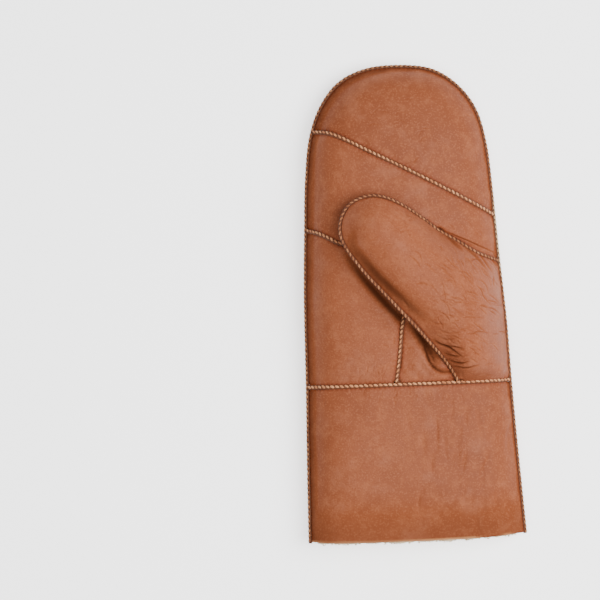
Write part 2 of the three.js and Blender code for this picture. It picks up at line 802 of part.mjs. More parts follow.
const join = 2 * seamRadius; // a seam ends this far from the middle of the seam it meets
add("side_seam", seamCord(sideSeamPoints), sideSeamColour, seamRoughness);
add("fingertip_seam", seamCord(onSurface(fingerLine, palmHeight, seamProud), join, join), seamColour, seamRoughness);
add("heel_seam", seamCord(onSurface(palmLeftLine, palmHeight, seamProud), join, crotchTrim), seamColour, seamRoughness);
add("thumb_seam", seamCord(thumbSeamPoints, join, join), seamColour, seamRoughness);
add("gusset_seam", seamCord(onSurface(gussetLine, palmHeight, seamProud), join, 2 * crotchTrim), seamColour, seamRoughness);
add("wrist_seam_palm", seamCord(onSurface(wristLine, palmHeight, seamProud), join, join), seamColour, seamRoughness);
add("wrist_seam_back", seamCord(onSurface(wristLine, backHeight, -backSeamProud), join, join), seamColour, seamRoughness);
add("back_seam", seamCord(onSurface(backLine, backHeight, -backSeamProud), join, join), seamColour, seamRoughness);

export default group;
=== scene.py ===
import math

import bmesh
import bpy
import numpy as np
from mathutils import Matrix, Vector, kdtree


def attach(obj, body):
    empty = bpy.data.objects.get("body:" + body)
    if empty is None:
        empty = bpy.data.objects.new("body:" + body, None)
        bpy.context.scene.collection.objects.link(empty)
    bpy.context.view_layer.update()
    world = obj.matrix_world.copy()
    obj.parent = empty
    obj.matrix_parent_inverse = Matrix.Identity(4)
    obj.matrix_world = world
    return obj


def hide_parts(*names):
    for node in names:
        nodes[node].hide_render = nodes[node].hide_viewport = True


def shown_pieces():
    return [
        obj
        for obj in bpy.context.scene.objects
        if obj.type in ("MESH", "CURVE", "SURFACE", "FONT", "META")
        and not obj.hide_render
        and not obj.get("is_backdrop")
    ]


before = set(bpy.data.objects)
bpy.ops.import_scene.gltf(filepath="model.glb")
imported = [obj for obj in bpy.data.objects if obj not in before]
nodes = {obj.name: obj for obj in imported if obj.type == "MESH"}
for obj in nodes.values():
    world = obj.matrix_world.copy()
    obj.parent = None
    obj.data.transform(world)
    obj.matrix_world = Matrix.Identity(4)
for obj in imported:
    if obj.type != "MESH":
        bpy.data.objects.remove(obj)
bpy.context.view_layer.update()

millimetre = 0.001
print("stage: frame loaded")


def addObject(name, data):
    made = bpy.data.objects.new(name, data)
    bpy.context.scene.collection.objects.link(made)
    return made


# Camera, straight above, the mitten at the photograph's place and size
cameraSizes = {
    "lens": 200.0,
    "sensor": 36.0,
    "widthSeen": 0.3508,
    "planeSeen": 0.013,
    "middle": (-0.0675, 0.0023),
    "farthest": 20.0,
}
camData = bpy.data.cameras.new("camera")
camData.lens = cameraSizes["lens"]
camData.sensor_width = cameraSizes["sensor"]
camData.clip_end = cameraSizes["farthest"]
camera = addObject("camera", camData)
camHeight = cameraSizes["widthSeen"] * cameraSizes["lens"] / cameraSizes["sensor"]
camera.location = (*cameraSizes["middle"], cameraSizes["planeSeen"] + camHeight)
bpy.context.scene.camera = camera


def addMesh(name, mesh, body="root", stands=()):
    piece = addObject(name, mesh)
    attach(piece, body)
    if stands:
        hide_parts(*stands)


# How a CAD mesh is merged, in metres, and the angles in degrees for its joined faces and cut edges
copySizes = {
    "merge": 0.00002,
    "joinFace": 40,
    "joinShape": 60,
    "cutEdge": 50,
}


def nodeBmesh(name):
    bm = bmesh.new()
    bm.from_mesh(nodes[name].data)
    bmesh.ops.remove_doubles(bm, verts=bm.verts, dist=copySizes["merge"])
    bmesh.ops.recalc_face_normals(bm, faces=bm.faces)
    return bm


def writeMesh(bm, mesh):
    bm.to_mesh(mesh)
    bm.free()


# Seam routes, in millimetres: the reach within one ring of a cord, and the step between measuring points
routeSizes = {
    "ringReach": 2.0,
    "curveSteps": 16,
    "measureStep": 0.5,
}


# The middle line of a seam, from the rings of its CAD cord
def seamLine(name):
    bm = nodeBmesh(name)
    bm.verts.index_update()
    co = np.array([v.co[:] for v in bm.verts])
    links = [(e.verts[0].index, e.verts[1].index) for e in bm.edges]
    bm.free()
    parent = list(range(len(co)))

    def top(i):
        while parent[i] != i:
            i = parent[i]
        return i

    for a, b in links:
        if np.linalg.norm(co[a] - co[b]) < routeSizes["ringReach"] * millimetre:
            parent[top(a)] = top(b)
    ring = np.array([top(i) for i in range(len(co))])
    beside = {r: set() for r in set(ring)}
    for a, b in links:
        if ring[a] != ring[b]:
            beside[ring[a]].add(ring[b])
            beside[ring[b]].add(ring[a])
    here = min(beside, key=lambda r: (len(beside[r]), co[ring == r].mean(0)[0]))
    order = [here]
    while True:
        onward = [r for r in beside[order[-1]] if r not in order]
        if not onward:
            break
        order.append(onward[0])
    return np.array([co[ring == r].mean(0) for r in order])


# Points at even steps along a smooth curve through the given ones, and the curve's length
def smoothPath(points, step):
    padded = np.vstack([2 * points[0] - points[1], points, 2 * points[-1] - points[-2]])
    fine = []
    for i in range(1, len(padded) - 2):
        a, b, c, d = padded[i - 1:i + 3]
        for t in np.linspace(0, 1, routeSizes["curveSteps"], endpoint=False):
            fine.append(0.5 * (2 * b + (c - a) * t + (2 * a - 5 * b + 4 * c - d) * t ** 2
                               + (3 * b - a - 3 * c + d) * t ** 3))
    fine.append(padded[-2])
    fine = np.array(fine)
    run = np.concatenate([[0], np.cumsum(np.linalg.norm(np.diff(fine, axis=0), axis=1))])
    count = max(2, round(run[-1] / step))
    at = np.linspace(0, run[-1], count + 1)
    return np.stack([np.interp(at, run, fine[:, k]) for k in range(3)], axis=1), run[-1]


seamNames = ["side_seam", "fingertip_seam", "heel_seam", "thumb_seam", "gusset_seam",
             "wrist_seam_palm", "wrist_seam_back", "back_seam"]
seamPoints = {name: seamLine(name) for name in seamNames}
print("stage: seam lines", {n: len(p) for n, p in seamPoints.items()})


# Seams as points at even steps in a search tree, with how far along its seam each one lies
def seamTree(names):
    step = routeSizes["measureStep"]
    places = [smoothPath(seamPoints[n], step * millimetre)[0] for n in names]
    every = np.vstack(places)
    tree = kdtree.KDTree(len(every))
    for i, place in enumerate(every):
        tree.insert(place, i)
    tree.balance()
    return tree, np.concatenate([np.arange(len(p)) * step for p in places])


# For each point the nearest place on the seams, its distance and run in millimetres, and its number
def nearSeam(co, tree, runs):
    found = [tree.find(place) for place in co]
    nearest = np.array([f[0][:] for f in found])
    away = np.array([f[2] for f in found]) / millimetre
    at = np.array([f[1] for f in found])
    return nearest, away, runs[at], at


def smoothStep(value, low, high):
    t = np.clip((value - low) / (high - low), 0, 1)
    return t * t * (3 - 2 * t)


waveSizes = {"count": 9, "spread": (0.7, 1.5)}


# Smooth noise about zero from a few waves in seeded directions, wave in millimetres
def waves(co, wave, seed):
    chance = np.random.default_rng(seed)
    total = np.zeros(len(co))
    for _ in range(waveSizes["count"]):
        way = chance.normal(size=3)
        way *= 2 * math.pi / (wave * chance.uniform(*waveSizes["spread"])) / np.linalg.norm(way)
        total += np.sin(co @ way / millimetre + chance.uniform(0, 2 * math.pi))
    return total / math.sqrt(waveSizes["count"])


def meshArray(mesh):
    co = np.empty(len(mesh.vertices) * 3)
    mesh.vertices.foreach_get("co", co)
    return co.reshape(-1, 3)


def normalArray(mesh):
    values = np.empty(len(mesh.vertices) * 3)
    mesh.vertex_normals.foreach_get("vector", values)
    return values.reshape(-1, 3)


def setArray(mesh, co):
    mesh.vertices.foreach_set("co", co.ravel())
    mesh.update()


def valueArray(mesh, name):
    values = np.empty(len(mesh.vertices))
    mesh.attributes[name].data.foreach_get("value", values)
    return values


def setValue(mesh, name, values):
    layer = mesh.attributes.get(name) or mesh.attributes.new(name, "FLOAT", "POINT")
    layer.data.foreach_set("value", values.astype(np.float32))


def shadeSmooth(mesh):
    mesh.polygons.foreach_set("use_smooth", [True] * len(mesh.polygons))


# A finer copy of a node: its triangles joined to quads, its cut edges kept crisp
def finerCopy(name, levels, crisp):
    bm = nodeBmesh(name)
    bmesh.ops.join_triangles(bm, faces=bm.faces, angle_face_threshold=math.radians(copySizes["joinFace"]),
                             angle_shape_threshold=math.radians(copySizes["joinShape"]))
    crease = bm.edges.layers.float.new("crease_edge")
    border = bm.verts.layers.float.new("border")
    for edge in bm.edges:
        if len(edge.link_faces) == 2 and edge.calc_face_angle() > math.radians(copySizes["cutEdge"]):
            edge[crease] = crisp
            for vert in edge.verts:
                vert[border] = 1.0
    rough = bpy.data.meshes.new(name + "_rough")
    writeMesh(bm, rough)
    holder = addObject(name + "_rough", rough)
    rounding = holder.modifiers.new("rounding", "SUBSURF")
    rounding.levels = levels
    rounding.render_levels = levels
    graph = bpy.context.evaluated_depsgraph_get()
    fine = bpy.data.meshes.new_from_object(holder.evaluated_get(graph))
    bpy.data.objects.remove(holder)
    bpy.data.meshes.remove(rough)
    fine.name = name
    fine.materials.clear()
    shadeSmooth(fine)
    return fine


# Node trees
def setInputs(tree, made, values):
    for key, value in values.items():
        if isinstance(value, bpy.types.NodeSocket):
            tree.links.new(value, made.inputs[key])
        else:
            made.inputs[key].default_value = value


def addNode(tree, kind, inputs, **settings):
    made = tree.nodes.new(kind)
    for key, value in settings.items():
        setattr(made, key, value)
    setInputs(tree, made, inputs)
    return made


def newMaterial(name):
    material = bpy.data.materials.new(name)
    material.use_nodes = True
    tree = material.node_tree
    shader = tree.nodes["Principled BSDF"]
    place = addNode(tree, "ShaderNodeTexCoord", {}).outputs["Object"]
    return material, tree, shader, place


# Sockets 0, 6, 7 and 2 of a colour mix are its factor, its two colours and its result
def mixColour(tree, factor, first, second):
    made = addNode(tree, "ShaderNodeMix", {}, data_type="RGBA")
    setInputs(tree, made, {0: factor, 6: first, 7: second})
    return made.outputs[2]


def remap(tree, value, low, high, toLow=0.0, toHigh=1.0, smooth=True):
    made = addNode(tree, "ShaderNodeMapRange", {0: value, 1: low, 2: high, 3: toLow, 4: toHigh},
                   interpolation_type="SMOOTHSTEP" if smooth else "LINEAR")
    return made.outputs[0]


def calc(tree, operation, first, second=0.0):
    return addNode(tree, "ShaderNodeMath", {0: first, 1: second}, operation=operation).outputs[0]


def attribute(tree, name):
    return addNode(tree, "ShaderNodeAttribute", {}, attribute_name=name).outputs["Fac"]


def noiseAt(tree, place, scale, detail, rough=0.55, distort=0.0):
    made = addNode(tree, "ShaderNodeTexNoise", {"Vector": place, "Scale": scale, "Detail": detail,
                                                "Roughness": rough, "Distortion": distort})
    return made.outputs[0]


def cellsAt(tree, place, scale):
    made = addNode(tree, "ShaderNodeTexVoronoi", {"Vector": place, "Scale": scale}, feature="SMOOTH_F1")
    return made.outputs["Distance"]


# A bump from a height, sizes being its strength and its distance in metres
def addBump(tree, height, sizes, below=None):
    made = addNode(tree, "ShaderNodeBump", {"Strength": sizes[0], "Distance": sizes[1], "Height": height})
    if below is not None:
        tree.links.new(below, made.inputs["Normal"])
    return made.outputs[0]


# Leather: tan with soft mottling, a fine grain, a darker rust edge along each seam, painted shade along the
# rim, towards the hem and in the folds, and patches of painted sheen
# A noise is its scale, detail and roughness, and a range is from low and high to the shares there
leatherSizes = {
    "tan": (0.208, 0.0585, 0.0235, 1),
    "deep": (0.166, 0.0445, 0.0172, 1),
    "light": (0.278, 0.092, 0.0410, 1),
    # paintedSheen is a pinkish colour laid on in noisy patches as painted sheen highlights
    "paintedSheen": (0.262, 0.092, 0.0470, 1),
    "shade": (0.070, 0.020, 0.0085, 1),
    "rust": (0.128, 0.026, 0.0080, 1),
    "dark": (0.022, 0.005, 0.0020, 1),
    # rim is the colour of the painted shade along the side seam and towards the hem
    "rim": (0.096, 0.030, 0.0150, 1),
    "raw": (0.420, 0.200, 0.0900, 1),
    "broadNoise": (22.0, 2.0),
    "broadRange": (0.3, 0.8),
    "layers": {
        "paintedSheen": {"noise": (48.0, 3.0, 0.6), "range": (0.5, 0.72, 0.0, 0.5), "colour": "paintedSheen"},
        "mottle": {"noise": (150.0, 4.0, 0.6), "range": (0.45, 0.75, 0.0, 0.45), "colour": "light"},
        "fine": {"noise": (620.0, 3.0, 0.6), "range": (0.5, 0.68, 0.0, 0.6), "colour": "deep"},
        "speckle": {"noise": (1000.0, 1.0, 0.5), "range": (0.53, 0.66, 0.0, 0.45), "colour": "light"},
    },
    "stitchPitch": 2.8,
    "edgeWobble": 1.8,
    "zigzag": 0.35,
    "rimRange": (0.05, 1.0, 0.0, 0.8),
    "rustRange": (1.6, 3.8, 0.85, 0.0),
    "darkRange": (1.3, 2.0, 0.95, 0.0),
    "shadeRange": (0.02, 0.8, 0.0, 0.85),
    "creaseShadeRange": (0.45, 1.1, 0.0, 0.9),
    "roughRange": (0.3, 0.7, 0.5, 0.64),
    "shineRange": (0.0, 0.3, 0.1, 0.0),
    "puckerRange": (1.6, 4.0, 0.6, 0.0),
    "puckerBump": (0.6, 0.0003),
    "grainScale": 950.0,
    "grainHigh": -0.5,
    "poreNoise": (2300.0, 2.0),
    "poreHigh": 0.35,
    "grainBump": (0.4, 0.00025),
}


def leatherMaterial(name, tone):
    s = leatherSizes
    material, tree, shader, place = newMaterial(name)
    broad = calc(tree, "ADD", noiseAt(tree, place, *s["broadNoise"]), tone)
    base = mixColour(tree, remap(tree, broad, *s["broadRange"]), s["tan"], s["deep"])
    noises = {}
    for key, layer in s["layers"].items():
        noises[key] = noiseAt(tree, place, *layer["noise"])
        base = mixColour(tree, remap(tree, noises[key], *layer["range"]), base, s[layer["colour"]])
    # crease holds the painted shade of the folds and wrinkles, rimShade the painted shade along the rim and
    # towards the hem
    away = attribute(tree, "seamAway")
    rim = attribute(tree, "rimShade")
    crease = attribute(tree, "crease")
    pitch = calc(tree, "MULTIPLY", attribute(tree, "seamRun"), 2 * math.pi / s["stitchPitch"])
    stitch = calc(tree, "SINE", pitch)
    wobble = calc(tree, "MULTIPLY", calc(tree, "SUBTRACT", noises["fine"], 0.5), s["edgeWobble"])
    zigzag = calc(tree, "MULTIPLY", stitch, s["zigzag"])
    for value, share, colour in ((rim, "rimRange", "rim"),
                                 (calc(tree, "ADD", away, wobble), "rustRange", "rust"),
                                 (calc(tree, "ADD", away, zigzag), "darkRange", "dark"),
                                 (crease, "shadeRange", "shade"),
                                 (crease, "creaseShadeRange", "dark")):
        base = mixColour(tree, remap(tree, value, *s[share]), base, s[colour])
    grain = calc(tree, "MULTIPLY", cellsAt(tree, place, s["grainScale"]), s["grainHigh"])
    pores = calc(tree, "MULTIPLY", noiseAt(tree, place, *s["poreNoise"]), s["poreHigh"])
    pucker = calc(tree, "MULTIPLY", stitch, remap(tree, away, *s["puckerRange"]))
    low = addBump(tree, pucker, s["puckerBump"])
    setInputs(tree, shader, {
        "Base Color": mixColour(tree, attribute(tree, "rawEdge"), base, s["raw"]),
        "Roughness": remap(tree, noises["mottle"], *s["roughRange"], smooth=False),
        "Specular IOR Level": remap(tree, calc(tree, "MAXIMUM", rim, crease), *s["shineRange"]),
        "Normal": addBump(tree, calc(tree, "ADD", grain, pores), s["grainBump"], low),
    })
    return material


# Seam cords: the leather's bare edges in beads between the turns of a rust thread, the beads darkened by
# painted shade at their low sides and ends
cordLook = {
    "fuzzNoise": (2600.0, 3.0, 0.65),
    "fuzzRange": (0.4, 0.7, 0.0, 0.35),
    "wool": (0.52, 0.38, 0.21, 1),
    "grooveShade": (0.060, 0.014, 0.0045, 1),
    "grooveRange": (0.45, 1.0, 0.0, 0.9),
    "rough": 0.72,
    "specular": 0.25,
    "bump": (0.5, 0.0002),
}


def cordMaterial(name, light, shade):
    s = cordLook
    material, tree, shader, place = newMaterial(name)
    fuzz = noiseAt(tree, place, *s["fuzzNoise"])
    base = mixColour(tree, attribute(tree, "beadTone"), light, shade)
    base = mixColour(tree, attribute(tree, "woolly"), base, s["wool"])
    base = mixColour(tree, remap(tree, fuzz, *s["fuzzRange"]), base, shade)
    base = mixColour(tree, remap(tree, attribute(tree, "grooveShade"), *s["grooveRange"]), base, s["grooveShade"])
    setInputs(tree, shader, {"Base Color": base, "Roughness": s["rough"], "Specular IOR Level": s["specular"],
                             "Normal": addBump(tree, fuzz, s["bump"])})
    return material


threadLook = {
    "tone": (0.060, 0.012, 0.0040, 1),
    "shade": (0.030, 0.006, 0.0020, 1),
    "noise": (1800.0, 2.0, 0.6),
    "range": (0.35, 0.7),
    "rough": 0.6,
    "bump": (0.4, 0.0001),
}


def threadMaterial(name):
    s = threadLook
    material, tree, shader, place = newMaterial(name)
    fibre = noiseAt(tree, place, *s["noise"])
    base = mixColour(tree, remap(tree, fibre, *s["range"]), s["tone"], s["shade"])
    setInputs(tree, shader, {"Base Color": base, "Roughness": s["rough"],
                             "Normal": addBump(tree, fibre, s["bump"])})
    return material


# Fleece: curly cream wool, darker between the curls as painted shade
woolLook = {
    "cream": (0.76, 0.60, 0.37, 1),
    "deep": (0.60, 0.44, 0.25, 1),
    "hollow": (0.38, 0.25, 0.13, 1),
    "light": (0.85, 0.74, 0.52, 1),
    "tintNoise": (60.0, 2.0),
    "tintRange": (0.3, 0.7),
    "curlScale": 260.0,
    "curlRange": (0.1, 0.6, 0.0, 0.5),
    "strandNoise": (1400.0, 4.0, 0.7, 1.2),
    "strandRange": (0.5, 0.75, 0.0, 0.4),
    "strandHigh": 0.6,
    "rough": 0.95,
    "sheen": 0.4,
    "bump": (0.8, 0.001),
}


def fleeceMaterial(name):
    s = woolLook
    material, tree, shader, place = newMaterial(name)
    curls = cellsAt(tree, place, s["curlScale"])
    strands = noiseAt(tree, place, *s["strandNoise"])
    tint = noiseAt(tree, place, *s["tintNoise"])
    base = mixColour(tree, remap(tree, tint, *s["tintRange"]), s["cream"], s["deep"])
    base = mixColour(tree, remap(tree, curls, *s["curlRange"]), base, s["hollow"])
    base = mixColour(tree, remap(tree, strands, *s["strandRange"]), base, s["light"])
    height = calc(tree, "SUBTRACT", calc(tree, "MULTIPLY", strands, s["strandHigh"]), curls)
    setInputs(tree, shader, {"Base Color": base, "Roughness": s["rough"], "Sheen Weight": s["sheen"],
                             "Normal": addBump(tree, height, s["bump"])})
    return material


# Leather panels
palmSeams = ["side_seam", "fingertip_seam", "heel_seam", "thumb_seam", "gusset_seam", "wrist_seam_palm"]
backSeams = ["side_seam", "wrist_seam_back", "back_seam"]
palmTree, palmRuns = seamTree(palmSeams)
backTree, backRuns = seamTree(backSeams)
rimTree, rimRuns = seamTree(["side_seam"])

panelSizes = {
    # The fingertip panel's high tone darkens the whole tip as painted shade
    "fingertip_panel": {"levels": 3, "side": 1, "tone": 0.34},
    "finger_panel": {"levels": 3, "side": 1, "tone": 0.02},
    "heel_panel": {"levels": 3, "side": 1, "tone": 0.04},
    "thumb_front_panel": {"levels": 3, "side": 1, "tone": -0.04},
    "thumb_back_panel": {"levels": 2, "side": 1, "tone": 0.06},
    "back_thumb_side_panel": {"levels": 3, "side": -1, "tone": 0.0},
    "back_outer_panel": {"levels": 3, "side": -1, "tone": 0.05},
    "cuff_palm_panel": {"levels": 3, "side": 1, "tone": 0.06},
    "cuff_back_panel": {"levels": 3, "side": -1, "tone": 0.03},
}
# Relief of the leather in millimetres, a pair being where an effect starts and where it is full
sculptSizes = {
    "crisp": 0.95,
    "borderLeast": 0.75,
    "wallLean": 0.05,
    "resting": (2.0, 8.0),
    "free": (2.0, 9.0),
    "gatherAt": 3.5,
    "gatherReach": 2.5,
    "gatherFrom": (1.6, 2.6),
    "gatherDrift": 0.4,
    "pucker": {"high": 0.3, "wave": 9.0, "seed": 5},
    "swell": {"high": 0.28, "wave": 46.0, "seed": 11},
    "ripple": {"high": 0.1, "wave": 17.0, "seed": 12},
    "foldFrom": (1.2, 2.6),
    "edgeGap": 1.0,
    "edgeMost": 5.5,
    "edgeWindow": 3,
    "pullWindow": 4,
    "pullFrom": 0.2,
    "pullReach": 2.6,
    "pullSpread": 1.8,
    "leastAway": 0.01,
    # rimReach and rimTurn set the painted shade along the side seam, wider on the left; hemShade paints shade
    # towards the hem
    "rimReach": (6.2, 2.6),
    "rimTurn": (-40, 20),
    "rimOpen": 0.55,
    "rimOpenReach": 4.0,
    "rimOpenFrom": (0, 35),
    "hemShade": (0.5, 20.0),
    "rawEdge": 0.8,
    "rawReach": (0.1, 0.5),
}
# Folds across the mitten in millimetres, each a smooth line with the width and depth of its valley and how
# dark painted shade makes it; the broad rows are painted shadow beside and under the thumb
folds = {
    "thumb_back_panel": [
        {"line": [(0.5, -14), (3.6, -21), (5.6, -28), (8.2, -34.4), (12.4, -38.4), (17.4, -39.6),
                  (22, -38.6)], "width": 1.15, "depth": 1.3, "shadeMark": 0.95},
        {"line": [(4.4, -22.5), (7.8, -27.6), (10.2, -33), (11.4, -36.6)], "width": 1.1, "depth": 0.7,
         "shadeMark": 0.8},
        {"line": [(-5, -9), (0, -16), (4.4, -22.4), (8.4, -29), (13, -36)], "width": 3.1, "depth": 0.9,
         "shadeMark": 0.78},
        {"line": [(1.2, -30), (3.4, -36), (7.5, -40), (13, -42)], "width": 1.4, "depth": 0.3, "shadeMark": 0.12},
        {"line": [(-6, -30), (-3.5, -37), (1, -41)], "width": 1.3, "depth": 0.2, "shadeMark": 0.1},
    ],
    "thumb_front_panel": [
        {"line": [(8.6, -19.5), (14, -23.4), (19.6, -26), (25.6, -31)], "width": 0.7, "depth": 0.5},
        {"line": [(12.2, -23.4), (20, -24.6), (27.6, -26.2)], "width": 0.6, "depth": 0.4},
        {"line": [(15.4, -28), (20.5, -30), (26.4, -30.2)], "width": 0.6, "depth": 0.4},
        {"line": [(17.7, -31.5), (24.5, -34.3), (30.4, -33)], "width": 0.6, "depth": 0.45},
        {"line": [(20.6, -35.4), (28, -37.2), (36.4, -35.0)], "width": 0.6, "depth": 0.4},
        {"line": [(11, -19), (17, -20.5), (22, -19.5)], "width": 0.6, "depth": 0.22},
        {"line": [(13.5, 42.6), (20, 36), (27, 30.5)], "width": 0.8, "depth": 0.3},
        {"line": [(19, 40), (27, 33), (36, 26), (42, 18)], "width": 0.8, "depth": 0.25},
        {"line": [(31, 33), (38, 27), (45, 17)], "width": 0.7, "depth": 0.2},
        {"line": [(-36, 46), (-37, 34), (-31, 25.5), (-22.6, 16), (-12.6, 6.4), (-2, -3), (10, -12)],
         "width": 3.1, "depth": 0.5, "shadeMark": 0.68},
    ],
    "heel_panel": [
        {"line": [(8, -28), (-1, -18), (-6, -12), (-18, 0), (-32, 16), (-43, 31)], "width": 2.7, "depth": 0.9,
         "shadeMark": 0.84},
    ],
    "finger_panel": [
        {"line": [(11.4, 44.8), (15, 43.4), (24, 39.6), (35, 34.9), (48, 29.4)], "width": 0.36, "depth": 0.3,
         "shadeMark": 0.74},
        {"line": [(11.6, 44.9), (13.6, 43.9), (16.4, 42.6)], "width": 0.8, "depth": 0.6, "shadeMark": 0.9},
    ],
}
# Patches of fine wrinkles: short bent lines scattered round a middle, in millimetres and degrees, each
# darkened by painted shade
wrinkles = {
    "thumb_front_panel": [
        {"middle": (29, 14), "reach": (13, 15), "turn": -46, "spread": 16, "count": 110, "length": (4, 13),
         "depth": 0.24, "shadeMark": 0.32},
        {"middle": (26, -10), "reach": (13, 11), "turn": -14, "spread": 14, "count": 90, "length": (4, 10),
         "depth": 0.26, "shadeMark": 0.36},
        {"middle": (25, -32), "reach": (8, 6), "turn": -8, "spread": 18, "count": 24, "length": (4, 10)},
        {"middle": (-7, 48), "reach": (8, 5), "turn": -28, "spread": 14, "count": 14, "length": (4, 9)},
        {"middle": (-22, 22), "reach": (5, 9), "turn": 38, "spread": 14, "count": 16, "length": (3, 7)},
    ],
    "cuff_palm_panel": [
        {"middle": (26, -90), "reach": (20, 22), "turn": 86, "spread": 12, "count": 36, "length": (8, 22),
         "width": (0.8, 1.5), "depth": 0.42, "shadeMark": 0.1},
        {"middle": (0, -52), "reach": (34, 3), "turn": 84, "spread": 14, "count": 60, "length": (2, 6),
         "shadeMark": 0.12},
    ],
    "heel_panel": [
        {"middle": (-20, -40), "reach": (12, 3.5), "turn": 80, "spread": 20, "count": 40, "length": (2, 6),
         "shadeMark": 0.16},
        {"middle": (-16, -16), "reach": (5, 10), "turn": 20, "spread": 24, "count": 14, "length": (3, 8)},
    ],
    "thumb_back_panel": [
        {"middle": (-2, -39), "reach": (5, 4), "turn": 60, "spread": 30, "count": 22, "length": (3, 7)},
        {"middle": (-4, -22), "reach": (3, 8), "turn": 20, "spread": 24, "count": 12, "length": (3, 6)},
    ],
    "finger_panel": [
        {"middle": (26, 42), "reach": (14, 4), "turn": -30, "spread": 16, "count": 16, "length": (4, 10)},
    ],
    "fingertip_panel": [
        {"middle": (-10, 104), "reach": (20, 12), "turn": 30, "spread": 40, "count": 16, "length": (4, 9)},
    ],
    "back_thumb_side_panel": [
        {"middle": (24, -34), "reach": (14, 8), "turn": 80, "spread": 24, "count": 26, "length": (4, 10)},
        {"middle": (28, 30), "reach": (12, 30), "turn": 70, "spread": 30, "count": 22, "length": (5, 12)},
    ],
    "back_outer_panel": [
        {"middle": (-30, -34), "reach": (14, 8), "turn": 96, "spread": 24, "count": 26, "length": (4, 10)},
        {"middle": (-24, 40), "reach": (14, 30), "turn": 60, "spread": 30, "count": 18, "length": (5, 12)},
    ],
    "cuff_back_panel": [
        {"middle": (0, -60), "reach": (36, 7), "turn": 88, "spread": 18, "count": 40, "length": (4, 10)},
    ],
}
wrinkleSizes = {
    "seed": 31,
    "bow": (-0.1, 0.35),
    "strength": (0.4, 1.0),
    "width": (0.32, 0.55),
    "depth": 0.18,
    "shadeMark": 0.24,
}


def fineFolds(patch, seed):
    s = {**wrinkleSizes, **patch}
    chance = np.random.default_rng(seed)
    rows = []
    for _ in range(s["count"]):
        spot = np.array(s["middle"]) + chance.normal(size=2) * s["reach"]
        turn = math.radians(s["turn"] + chance.normal(0, s["spread"]))
        half = chance.uniform(*s["length"]) / 2
        way = np.array([math.cos(turn), math.sin(turn)]) * half
        bow = np.array([-way[1], way[0]]) * chance.uniform(*s["bow"])
        strength = chance.uniform(*s["strength"])
        rows.append({"line": [spot - way, spot + bow, spot + way], "width": chance.uniform(*s["width"]),
                     "depth": s["depth"] * strength, "shadeMark": s["shadeMark"] * strength})
    return rows


# A fold's points at a step in millimetres, and its valley and low shoulders in widths of the fold
foldSizes = {
    "step": 0.35,
    "taper": 0.6,
    "margin": 4.2,
    "shoulderAt": 2.2,
    "shoulderWide": 1.1,
    "shoulderHigh": 0.35,
    "shadeFullDepth": 0.6,
}


def foldPoints(line):
    return smoothPath(np.array([(*p, 0) for p in line], float), foldSizes["step"])[0][:, :2]


# The folds and fine wrinkles of a panel, each with points along its line
def foldRows(name):
    rows = list(folds.get(name, []))
    for n, patch in enumerate(wrinkles.get(name, [])):
        rows += fineFolds(patch, wrinkleSizes["seed"] + n)
    return [{**row, "points": foldPoints(row["line"])} for row in rows]


# A panel's outer face is made finer near the folds, and finer again close to the narrow ones
refineSizes = {
    "passes": ((9.0, 1.5), (0.9, 0.85)),
    "shortest": 0.3,
}


def refineNear(mesh, rows, side):
    fine = bmesh.new()
    fine.from_mesh(mesh)
    shortest = refineSizes["shortest"] * millimetre
    for widest, reach in refineSizes["passes"]:
        points = [point for row in rows if row["width"] < widest for point in row["points"]]
        tree = kdtree.KDTree(len(points))
        for i, point in enumerate(points):
            tree.insert((*point, 0), i)
        tree.balance()
        chosen = []
        fine.normal_update()
        for edge in fine.edges:
            if min(v.normal.z * side for v in edge.verts) < 0:
                continue
            middle = (edge.verts[0].co + edge.verts[1].co) / 2 / millimetre
            if tree.find((middle.x, middle.y, 0))[2] < reach and edge.calc_length() > shortest:
                chosen.append(edge)
        bmesh.ops.subdivide_edges(fine, edges=chosen, cuts=1, use_grid_fill=True)
    writeMesh(fine, mesh)


# How far the folds lift the leather, and how dark painted shade makes their valleys
def foldShape(flat, rows):
    s = foldSizes
    lift = np.zeros(len(flat))
    shadeMark = np.zeros(len(flat))
    for row in rows:
        line = row["points"]
        taper = np.sin(np.linspace(0, math.pi, len(line))) ** s["taper"]
        margin = s["margin"] * row["width"]
        near = np.all((flat > line.min(0) - margin) & (flat < line.max(0) + margin), axis=1)
        if not near.any():
            continue
        gaps = np.linalg.norm(flat[near, None, :] - line[None, :, :], axis=2)
        best = gaps.argmin(1)
        away = gaps.min(1) / row["width"]
        valley = np.exp(-away ** 2) * taper[best]
        shoulder = np.exp(-((away - s["shoulderAt"]) / s["shoulderWide"]) ** 2) * taper[best]
        lift[near] += row["depth"] * (s["shoulderHigh"] * shoulder - valley)
        shadeMark[near] = np.maximum(shadeMark[near], valley * row.get("shadeMark", row["depth"] / s["shadeFullDepth"]))
    return lift, shadeMark


def rolled(values, window):
    return [np.roll(values, k) for k in range(-window, window + 1)]


# How far a panel's cut edge stands off the seam at each of the seam's points, and how far it is pulled
def edgeReach(away, at, count, wall):
    s = sculptSizes
    edge = np.full(count, np.inf)
    np.minimum.at(edge, at[wall], away[wall])
    edge = np.min(rolled(edge, s["edgeWindow"]), axis=0)
    sewn = edge < s["edgeMost"]
    pull = np.where(sewn, np.clip(edge - s["edgeGap"], 0, None), 0)
    return np.where(sewn, edge, 0), np.mean(rolled(pull, s["pullWindow"]), axis=0)


# How far down the cuff reaches at each place across it
hemSizes = {"steps": 13, "window": 6}
cuffPlaces = np.vstack([meshArray(nodes[n].data) for n in ("cuff_palm_panel", "cuff_back_panel")])
cuffPlaces /= millimetre
cuffSteps = np.linspace(cuffPlaces[:, 0].min(), cuffPlaces[:, 0].max(), hemSizes["steps"])
cuffNear = [np.abs(cuffPlaces[:, 0] - x) < hemSizes["window"] for x in cuffSteps]
cuffEnds = np.array([cuffPlaces[near, 1].min() for near in cuffNear])


def waveLift(co, row):
    return row["high"] * waves(co, row["wave"], row["seed"])


